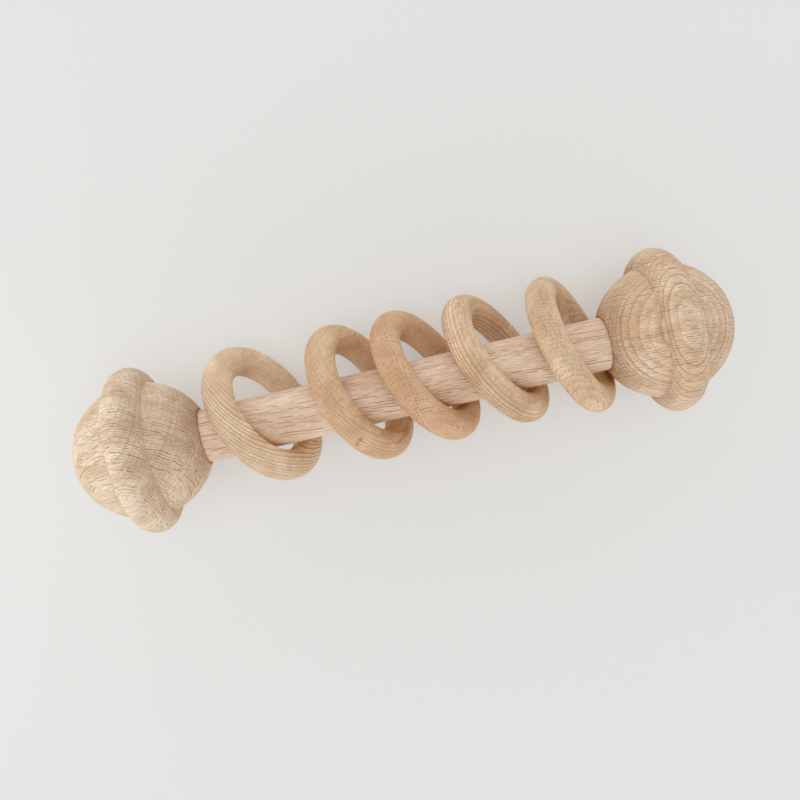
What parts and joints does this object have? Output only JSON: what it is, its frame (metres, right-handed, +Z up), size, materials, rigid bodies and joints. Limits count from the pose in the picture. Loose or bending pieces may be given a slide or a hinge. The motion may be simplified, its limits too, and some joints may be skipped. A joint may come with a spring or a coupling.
{
  "type": "wooden ring rattle",
  "caption": "Wooden hand rattle: a round shaft with a turned ball knob on each end and loose rings that slide along the shaft.",
  "frame": {"origin": "on the surface that it lies on, under the middle of the shaft, at the centre of the box's bottom face", "axes": "+X along the shaft to the right knob, +Z up, +Y away from the viewer"},
  "size_m": [0.1874, 0.0468, 0.0468],
  "materials": {
    "shaft_wood": "raw beech dowel, sanded, satin",
    "knob_wood": "raw turned beech, sanded, satin",
    "ring_pale_wood": "raw turned beech, sanded, satin",
    "ring_tan_wood": "raw turned beech of a warmer tan, sanded, satin"
  },
  "bodies": {
    "handle": {"shaft": "shaft_wood", "knob_left": "knob_wood", "knob_right": "knob_wood"},
    "ring_1_body": {"ring_1": "ring_pale_wood"},
    "ring_2_body": {"ring_2": "ring_tan_wood"},
    "ring_3_body": {"ring_3": "ring_tan_wood"},
    "ring_4_body": {"ring_4": "ring_pale_wood"},
    "ring_5_body": {"ring_5": "ring_pale_wood"}
  },
  "joints": [
    {"name": "ring_1_slide", "type": "slide", "parent": "handle", "child": "ring_1_body", "axis": [1, 0, 0], "range_m": [-0.0053, 0.0167]},
    {"name": "ring_2_slide", "type": "slide", "parent": "handle", "child": "ring_2_body", "axis": [1, 0, 0], "range_m": [-0.0167, 0.0077]},
    {"name": "ring_3_slide", "type": "slide", "parent": "handle", "child": "ring_3_body", "axis": [1, 0, 0], "range_m": [-0.0077, 0.0095]},
    {"name": "ring_4_slide", "type": "slide", "parent": "handle", "child": "ring_4_body", "axis": [1, 0, 0], "range_m": [-0.0095, 0.0088]},
    {"name": "ring_5_slide", "type": "slide", "parent": "handle", "child": "ring_5_body", "axis": [1, 0, 0], "range_m": [-0.0088, 0]}
  ]
}
